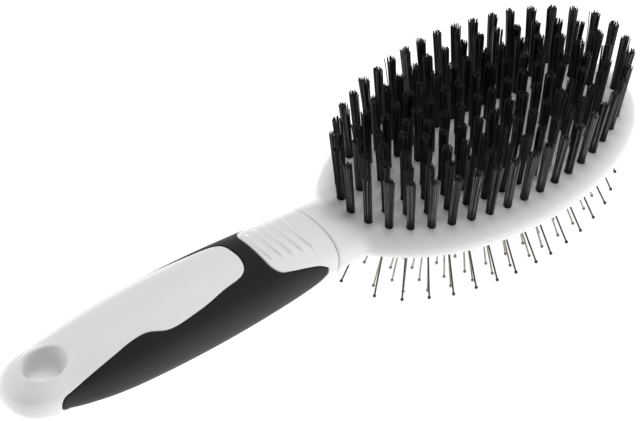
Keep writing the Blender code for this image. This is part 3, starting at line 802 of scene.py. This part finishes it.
def tuft_mesh(name, places, draw):
    """The mesh of a stretch of tufts, and each face's material: 0 or 1 on the sides, 2 on the cut ends."""
    points, faces, marks = [], [], []
    pattern = bundle()
    for place in places:
        tuft = draw_tuft(draw)
        for offset in pattern:
            wild = WILD_FACTOR if draw.random() < WILD_SHARE else 1.0
            drift = (draw.gauss(0, FILAMENT_DRIFT) * wild, draw.gauss(0, FILAMENT_DRIFT) * wild)
            length = TUFT_HEIGHT - tuft["trimmed"] - abs(draw.gauss(0, LENGTH_SPREAD))
            pale = 1 if draw.random() < PALE_SHARE else 0
            before = len(faces)
            add_tube(filament(place, offset, tuft, drift, length), points, faces)
            marks += [pale] * (len(faces) - before - 1) + [2]
    mesh = bpy.data.meshes.new(name)
    mesh.from_pydata(points, [], faces)
    return mesh, marks


def add_tufts(rows):
    """Bundles of nylon filaments with ragged, cut ends: one piece for each CAD stretch. Pale filaments are
    painted lit in the outer row and painted in shade in the inner rows.
    """
    black = nylon("black_nylon_filament", *BLACK_TONES)
    lit_outer_nylon = nylon("lit_outer_row_nylon_filament", *LIT_OUTER_ROW_NYLON_TONES)
    shaded_inner_nylon = nylon("shaded_inner_row_nylon_filament", *SHADED_INNER_ROW_NYLON_TONES)
    ends = nylon_ends()
    draw = random.Random(TUFT_SEED)
    for name, places in rows:
        mesh, marks = tuft_mesh(f"tufts_{name}", places, draw)
        # Painted light: the pale filaments of the outer row take the lit tones, and those of the inner rows
        # the darker, shaded tones
        looks = (black, lit_outer_nylon if name.startswith("1") else shaded_inner_nylon, ends)
        add_piece(f"tufts_{name}", mesh, looks, "brush", (f"tuft_row_{name}",), TUFT_CREASE)
        mesh.polygons.foreach_set("material_index", marks)


def dome_height(x, y):
    """Height of the cushion's outer face, from the cushion's own middle."""
    return DOME_APEX_Z + DOME_DEPTH * ((x / DOME_SIZE[0]) ** 2 + (y / DOME_SIZE[1]) ** 2)


def pin_frame(place):
    """Root of a pin on the cushion, and its direction."""
    x, y = place
    root = Vector((x + CUSHION_X, y, dome_height(x, y)))
    way = Vector((PIN_FLARE[0] * x / OPENING[0], PIN_FLARE[1] * y / OPENING[1], -1.0)).normalized()
    return root, way


def lathe(root, way, profile, sides, points, faces):
    """Adds a turned body along a line: profile is (distance along, radius)."""
    across = way.orthogonal().normalized()
    other = way.cross(across)
    turns = [2 * math.pi * k / sides for k in range(sides)]
    rings = []
    for along, radius in profile:
        rings.append([root + way * along + (across * math.cos(a) + other * math.sin(a)) * radius + ZERO
                      for a in turns])
    add_tube(rings, points, faces)


def pin_profile():
    """Profile of a straight wire with a ball at its end."""
    profile = [(-PIN_FOOT, PIN_RADIUS)]
    profile += [(share * PIN_LENGTH, PIN_RADIUS) for share in PIN_STATIONS]
    start = math.asin(PIN_RADIUS / BALL_RADIUS)
    profile.append((PIN_LENGTH - BALL_RADIUS * math.cos(start) - PIN_NECK, PIN_RADIUS))
    for k in range(BALL_STEPS + 1):
        a = start + (BALL_END - start) * k / BALL_STEPS
        profile.append((PIN_LENGTH - BALL_RADIUS * math.cos(a), BALL_RADIUS * math.sin(a)))
    return profile


def add_pins(rows):
    """Round wires with ball tips, each slightly out of line: one piece for each CAD stretch. The outer row is
    painted in shade and the inner rows are painted lit.
    """
    outer = pin_steel("drawn_steel_shaded_outer_row", *SHADED_OUTER_PIN_TONES)
    inner = pin_steel("drawn_steel_lit_inner_rows", *LIT_INNER_PIN_TONES)
    draw = random.Random(PIN_SEED)
    profile = pin_profile()
    for name, places in rows:
        points, faces = [], []
        for place in places:
            root, way = pin_frame(place)
            tilt = Vector((draw.gauss(0, PIN_WANDER), draw.gauss(0, PIN_WANDER), 0.0))
            lathe(root, (way + tilt).normalized(), profile, PIN_SIDES, points, faces)
        mesh = bpy.data.meshes.new(f"pins_{name}")
        mesh.from_pydata(points, [], faces)
        # Painted light: the outer row gets the shaded steel and the inner rows the lit, paler steel
        look = outer if name.startswith("1") else inner
        add_piece(f"pins_{name}", mesh, look, "pin_pad", (f"pin_row_{name}",), PIN_CREASE)


def dome_mesh():
    """The closed cushion without its pin collars: outer face, edge, flange and back."""
    outer = []
    for k in range(1, DOME_RINGS + 1):
        share = DOME_SHARE * math.sin(math.pi / 2 * k / DOME_RINGS)
        ring = ring_at(DOME_SIZE[0] * share, DOME_SIZE[1] * share, 0.0, DOME_SIDES)
        outer.append([(x, y, dome_height(x, y)) for x, y, _ in ring])
    edge = dome_height(DOME_SIZE[0] * DOME_SHARE, 0.0)
    for share, up in DOME_EDGE:
        outer.append(ring_at(DOME_SIZE[0] * share, DOME_SIZE[1] * share, edge + up, DOME_SIDES))
    for grow in (0.0, CUSHION_FLANGE):
        outer.append(ring_at(DOME_SIZE[0] + grow, DOME_SIZE[1] + grow, CUSHION_FLANGE_Z, DOME_SIDES))
    inner = [[(x, y, z + CUSHION_THICKNESS) for x, y, z in ring] for ring in reversed(outer)]
    sheet = Sheet()
    sheet.body([[(x + CUSHION_X, y, z) for x, y, z in ring] for ring in outer + inner])
    return sheet.mesh("dome")


def dome_normal(x, y):
    """Outward direction of the cushion's outer face, from the cushion's own middle."""
    slope_x = 2 * DOME_DEPTH * x / DOME_SIZE[0] ** 2
    slope_y = 2 * DOME_DEPTH * y / DOME_SIZE[1] ** 2
    return Vector((slope_x, slope_y, -1.0)).normalized()


def add_cushion(rows):
    """The domed rubber cushion with a moulded collar round each pin."""
    dome = dome_mesh()
    points = [vertex.co.copy() for vertex in dome.vertices]
    faces = [tuple(face.vertices) for face in dome.polygons]
    bpy.data.meshes.remove(dome)
    for _, places in rows:
        for place in places:
            root = pin_frame(place)[0]
            lathe(root, dome_normal(*place), PIN_COLLAR, PIN_COLLAR_SIDES, points, faces)
    mesh = bpy.data.meshes.new("air_cushion")
    mesh.from_pydata(points, [], faces)
    piece = add_piece("air_cushion", mesh, cushion_rubber(), "brush", ("pin_cushion",),
                      RUBBER_CREASE)
    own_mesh(piece)


# ---------------------------------------------------------------- handle

SECTION_TABLE = curve_through([[value * MM for value in row] for row in HANDLE_SECTIONS], SECTION_STEPS)


def section(x):
    """Half width, half height and middle height of the handle."""
    cap_start = -TAIL_REACH + TAIL_CAP
    shrink = 1.0
    if x < cap_start:
        share = min(1.0, (cap_start - x) / TAIL_CAP)
        shrink = max(1e-6, 1 - share ** TAIL_POWERS[0]) ** (1 / TAIL_POWERS[1])
        x = cap_start
    for a, b in zip(SECTION_TABLE, SECTION_TABLE[1:]):
        if b[0] <= x:
            break
    share = (x - a[0]) / (b[0] - a[0])
    wide, tall, middle = (a[k] + share * (b[k] - a[k]) for k in (1, 2, 3))
    return wide * shrink, tall * shrink, middle


def on_handle(x, angle, inset=0.0):
    """A point of the handle's surface: angle 0 is its +Y side, a right angle its top."""
    wide, tall, middle = section(x)
    cosine, sine = math.cos(angle), math.sin(angle)
    power = 2 / SECTION_POWER
    across = math.copysign(abs(cosine) ** power, cosine)
    up = math.copysign(abs(sine) ** power, sine)
    return (x, max(0.0, wide - inset) * across, middle + max(0.0, tall - inset) * up)


def angle_of(x, y):
    """The angle at which the handle's surface is y from its middle plane."""
    share = min(1.0, y / section(x)[0])
    return math.acos(share ** (SECTION_POWER / 2))


def edge_curve(edge, steps):
    """An edge unrolled on the handle, up to the side line: (x, arc from the side line, normal)."""
    found = []
    last = None
    for x, y in curve_through(edge, steps):
        x, y = x * MM, y * MM
        wide = section(x)[0]
        if y >= wide:
            share = (last[2] - last[1]) / ((last[2] - last[1]) + (y - wide))
            found.append((last[0] + share * (x - last[0]), 0.0))
            break
        found.append((x, angle_of(x, y) * WRAP_RADIUS))
        last = (x, y, wide)
    lined = []
    for i, (x, arc) in enumerate(found):
        before, after = found[max(0, i - 1)], found[min(len(found) - 1, i + 1)]
        dx, da = after[0] - before[0], after[1] - before[1]
        if i in (0, len(found) - 1):
            dx, da = 0.0, -1.0
        size = math.hypot(dx, da)
        lined.append((x, arc, -da / size, dx / size))
    return lined


ROUND = [(EDGE_ROUNDING * (1 - math.cos(math.radians(a))), EDGE_ROUNDING * (1 - math.sin(math.radians(a))))
         for a in EDGE_TURNS]


def edge_strip(curve, side, gap):
    """The rounded edge along a curve: rows of points from deep inside to the surface, and the inner ends."""
    strip, ends = [], []
    for x, arc, nx, na in curve:
        row = []
        for away, inset in [(0.0, EDGE_DEPTH), *ROUND]:
            px = x + side * nx * (gap + away)
            pa = max(0.0, arc + side * na * (gap + away))
            row.append((px, min(math.pi / 2, pa / WRAP_RADIUS), inset))
        strip.append(row)
        ends.append((row[-1][0], row[-1][1]))
    return strip, ends


def both_ways(sheet, rows, side):
    """Adds a grid of (x, angle, inset) on one side of the handle, above and mirrored below."""
    for up in (1, -1):
        sheet.grid([[on_handle(x, up * (a if side > 0 else math.pi - a), inset) for x, a, inset in row]
                    for row in rows])


def add_grip(look):
    """Charcoal over-mould: wraps both sides and meets itself between the panels and the collar."""
    sheet = Sheet()
    for side, edge in ((1, PANEL_FAR_EDGE), (-1, PANEL_NEAR_EDGE)):
        panel_strip, panel_ends = edge_strip(edge_curve(edge, EDGE_STEPS), 1, 0.0)
        collar_strip, collar_ends = edge_strip(edge_curve(COLLAR_EDGE, EDGE_STEPS), -1, 0.0)
        both_ways(sheet, panel_strip, side)
        both_ways(sheet, collar_strip, side)
        low, high = panel_ends[0][0], collar_ends[0][0]
        bridge = [low + (high - low) * k / GRIP_BRIDGE_STEPS for k in range(1, GRIP_BRIDGE_STEPS)]
        ends = [*reversed(panel_ends), *((x, math.pi / 2) for x in bridge), *collar_ends]
        rows = [[(x, a * (1 - j / GRIP_COLUMNS), 0.0) for j in range(GRIP_COLUMNS + 1)] for x, a in ends]
        both_ways(sheet, rows, side)
    add_piece("handle_grip", sheet.mesh("handle_grip"), look, "brush", ("grip_overmould",),
              HANDLE_CREASE)


def rib_height(x, y):
    """How far the collar's bowed thumb ribs stand out."""
    best = 0.0
    for number, span in enumerate(RIB_HALF_SPANS):
        middle = RIB_FIRST_X + RIB_PITCH * number + RIB_BOW * (y / RIB_HALF_SPANS[1]) ** 2
        away = abs(x - middle) / RIB_HALF_WIDTH
        if away < 1:
            crown = math.cos(math.pi / 2 * away) ** RIB_CROWN_POWER
            best = max(best, RIB_HEIGHT * crown * smoothstep(0.0, RIB_FADE, span - abs(y)))
    return best


def to_top(x, angle, columns):
    """A row of surface points from an angle up to the top of the handle."""
    return [(x, angle + (math.pi / 2 - angle) * j / columns, 0.0) for j in range(columns + 1)]


def ribbed(row):
    """A row of the collar raised by its ribs."""
    return [(x, a, inset - rib_height(x, on_handle(x, a)[1])) for x, a, inset in row]


def add_collar(look):
    """White collar with five bowed ribs above and below and a rounded lip at the seam."""
    sheet = Sheet()
    strip, ends = edge_strip(edge_curve(COLLAR_EDGE, COLLAR_EDGE_STEPS), 1, EDGE_GAP)
    front = SEAM_X - SEAM_GAP
    nose = ends[-1][0]
    lip = front - SEAM_ROUNDING
    plain = [nose + (lip - nose) * k / COLLAR_ROWS for k in range(1, COLLAR_ROWS + 1)]
    rows = [ribbed(to_top(x, a, COLLAR_COLUMNS)) for x, a in [*ends, *((x, 0.0) for x in plain)]]
    grow = SEAM_ROUNDING / EDGE_ROUNDING
    rim = [(away * grow, inset * grow) for away, inset in reversed(ROUND[:-1])]
    for away, inset in [*rim, (0.0, EDGE_DEPTH)]:
        rows.append([(x, a, inset) for x, a, _ in to_top(front - away, 0.0, COLLAR_COLUMNS)])
    for side in (1, -1):
        both_ways(sheet, strip, side)
        both_ways(sheet, rows, side)
    add_piece("thumb_grip_collar", sheet.mesh("thumb_grip_collar"), look, "brush",
              ("thumb_collar",), HANDLE_CREASE)


def top_of(x, y):
    """Height of the handle's upper face above its middle, and the middle."""
    wide, tall, middle = section(x)
    share = min(1.0, abs(y) / max(wide, 1e-9))
    return tall * (1 - share ** SECTION_POWER) ** (1 / SECTION_POWER), middle


def lip_points(bx, by):
    """(x, y, height, middle) from a point of the tail's outline inwards and over the lip of the hole."""
    turn = math.atan2(by / HOLE_MOUTH[1], (bx - HOLE_X) / HOLE_MOUTH[0])
    mx, my = HOLE_MOUTH[0] * math.cos(turn), HOLE_MOUTH[1] * math.sin(turn)
    start = HOLE_LIP[0][0]
    lx, ly = HOLE_X + mx * start, my * start
    found = []
    for k in range(HOLE_LIP_STEPS):
        t = math.sin(math.pi / 2 * (1 - k / HOLE_LIP_STEPS))
        x, y = lx + (bx - lx) * t, ly + (by - ly) * t
        found.append((x, y, *top_of(x, y)))
    for scale, drop in HOLE_LIP:
        x, y = HOLE_X + mx * scale, my * scale
        tall, middle = top_of(x, y)
        found.append((x, y, tall - drop * MM, middle))
    return found, mx, my


def wall_points(mx, my, tall, middle):
    """(x, y, height, middle) down the wall of the hole, from under its lip to its waist."""
    last = HOLE_LIP[-1][0]
    found = []
    for k in range(HOLE_WALL_STEPS + 1):
        share = k / HOLE_WALL_STEPS
        scale = HOLE_WAIST + (last - HOLE_WAIST) * (1 - share) ** HOLE_WALL_POWER
        found.append((HOLE_X + mx * scale, my * scale, tall * (1 - share), middle))
    return found


def tail_block(sheet, loop):
    """The tail round the hanging hole: lines run from a loop of (x, y) inwards and through the hole."""
    lips, walls = [], []
    for bx, by in loop:
        lip, mx, my = lip_points(bx, by)
        lips.append(lip)
        walls.append(wall_points(mx, my, *lip[-1][2:]))
    for side in (1, -1):
        for lines in (lips, walls):
            rows = [[(x, y, middle + side * up) for x, y, up, middle in row] for row in zip(*lines)]
            sheet.grid(rows, closed=True)


def panel_half(sheet, side, edge):
    """Adds the panels above and below on one side, and returns that side's half of the tail's outline."""
    curve = edge_curve(edge, EDGE_STEPS)
    strip, ends = edge_strip(curve, -1, EDGE_GAP)
    both_ways(sheet, strip, side)
    split = next(i for i, point in enumerate(curve) if point[0] < TAIL_BLOCK_X)
    rows = []
    for (x, a), point in zip(ends[:split + 1], curve):
        middle_x = point[0] - EDGE_GAP - EDGE_ROUNDING
        shares = [j / PANEL_COLUMNS for j in range(PANEL_COLUMNS + 1)]
        rows.append([(x + (middle_x - x) * share, a + (math.pi / 2 - a) * share, 0.0) for share in shares])
    both_ways(sheet, rows, side)
    half = [on_handle(x, a)[:2] for x, a, _ in reversed(rows[-1])]
    half += [on_handle(x, a)[:2] for x, a in ends[split + 1:]]
    tip = ends[-1][0]
    for k in range(1, TAIL_TIP_STEPS + 1):
        x = tip + (-TAIL_REACH - tip) * math.sin(math.pi / 2 * k / TAIL_TIP_STEPS)
        half.append((x, section(x)[0] if k < TAIL_TIP_STEPS else 0.0))
    return half


def add_handle_body(look):
    """The visible white core: panels above and below and the tail with its hanging hole."""
    sheet = Sheet()
    far = panel_half(sheet, 1, PANEL_FAR_EDGE)
    near = panel_half(sheet, -1, PANEL_NEAR_EDGE)
    tail_block(sheet, far + [(x, -y) for x, y in reversed(near[1:-1])])
    add_piece("handle_body", sheet.mesh("handle_body"), look, "brush", ("handle_core",),
              HANDLE_CREASE)


def add_core_lining(look):
    """The part of the white core that lies under the grip and the collar."""
    rings = []
    for k in range(CORE_STEPS + 1):
        x = CORE_START_X + CORE_REACH * math.sin(math.pi / 2 * k / CORE_STEPS)
        if x > HOLE_X + HOLE_MOUTH[0] + MM:
            rings.append([on_handle(x, 2 * math.pi * j / CORE_SIDES, CORE_INSET) for j in range(CORE_SIDES)])
    sheet = Sheet()
    sheet.body(rings)
    add_piece("core_lining", sheet.mesh("core_lining"), look, "brush", (), HANDLE_CREASE)


# ---------------------------------------------------------------- stage

def add_camera():
    """The camera, placed around the middle of the tufted face."""
    azimuth, elevation, roll = CAMERA_AZIMUTH, CAMERA_ELEVATION, CAMERA_ROLL
    back = Vector((math.sin(azimuth) * math.cos(elevation), -math.cos(azimuth) * math.cos(elevation),
                   math.sin(elevation)))
    level = Vector((math.cos(azimuth), math.sin(azimuth), 0.0))
    upright = back.cross(level)
    right = math.cos(roll) * level + math.sin(roll) * upright
    up = math.cos(roll) * upright - math.sin(roll) * level
    data = bpy.data.cameras.new("camera")
    data.sensor_width = CAMERA_SENSOR
    data.lens = CAMERA_LENS
    data.clip_start, data.clip_end = CAMERA_CLIP
    camera = bpy.data.objects.new("camera", data)
    bpy.context.collection.objects.link(camera)
    spot = ZERO + right * CAMERA_SHIFT[0] + up * CAMERA_SHIFT[1] + back * CAMERA_DISTANCE
    turned = Matrix((right, up, back)).transposed().to_4x4()
    camera.matrix_world = Matrix.Translation(spot) @ turned
    bpy.context.scene.camera = camera


def add_light(name, place, size, power):
    """A square soft light that faces the head's middle."""
    data = bpy.data.lights.new(name, "AREA")
    data.size = size
    data.energy = power
    lamp = bpy.data.objects.new(name, data)
    bpy.context.collection.objects.link(lamp)
    lamp.location = place
    lamp.rotation_euler = (Vector(place) - ZERO).to_track_quat("Z", "Y").to_euler()
    lamp.visible_glossy = False


def add_floor():
    """A bright, even table that keeps only a trace of the shadow."""
    sheet = Sheet()
    ground = -ZERO.z - FLOOR_DROP
    line = [FLOOR_HALF_SIZE * (2 * k / FLOOR_STEPS - 1) for k in range(FLOOR_STEPS + 1)]
    sheet.grid([[(x, y, ground) for y in line] for x in line])
    floor = bpy.data.objects.new("floor", sheet.mesh("floor", weld=0))
    bpy.context.collection.objects.link(floor)
    made = Nodes("floor_white")
    dark, light = FLOOR_TONES
    made.link(made.ramp(made.noise(3.0, 2), ((0.3, dark), (0.7, light))), made.shader.inputs["Base Color"])
    made.set(Roughness=0.9, Emission_Color=(1.0, 1.0, 1.0, 1.0), Emission_Strength=FLOOR_GLOW)
    made.shader.inputs["Specular IOR Level"].default_value = 0.0
    floor.data.materials.append(made.material)


def add_world():
    """Even white surroundings."""
    world = bpy.data.worlds.new("surroundings")
    world.use_nodes = True
    background = world.node_tree.nodes["Background"]
    background.inputs["Color"].default_value = (1.0, 1.0, 1.0, 1.0)
    background.inputs["Strength"].default_value = SURROUNDINGS_STRENGTH
    bpy.context.scene.world = world
    bpy.context.scene.view_settings.view_transform = "Standard"


def dress_retainer():
    """Gives the hidden retainer ring, which stays as the CAD has it, its own material."""
    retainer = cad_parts["cushion_retainer"]
    retainer.data.materials.clear()
    retainer.data.materials.append(retainer_plastic())


def main():
    """Stage first, then every piece."""
    add_camera()
    add_world()
    add_floor()
    for name, place, size, power in LAMPS:
        add_light(name, place, size, power)
    white = white_plastic("white_satin_plastic", WHITE_TINT)
    tuft_rows = stretches(TUFT_ROWS, TUFT_MIDDLE)
    pin_rows = stretches(PIN_ROWS, PIN_MIDDLE)
    add_head(white, [place for _, places in tuft_rows for place in places])
    add_tufts(tuft_rows)
    add_pins(pin_rows)
    add_cushion(pin_rows)
    add_grip(charcoal_rubber())
    add_collar(white)
    add_handle_body(white)
    add_core_lining(white)
    dress_retainer()


main()
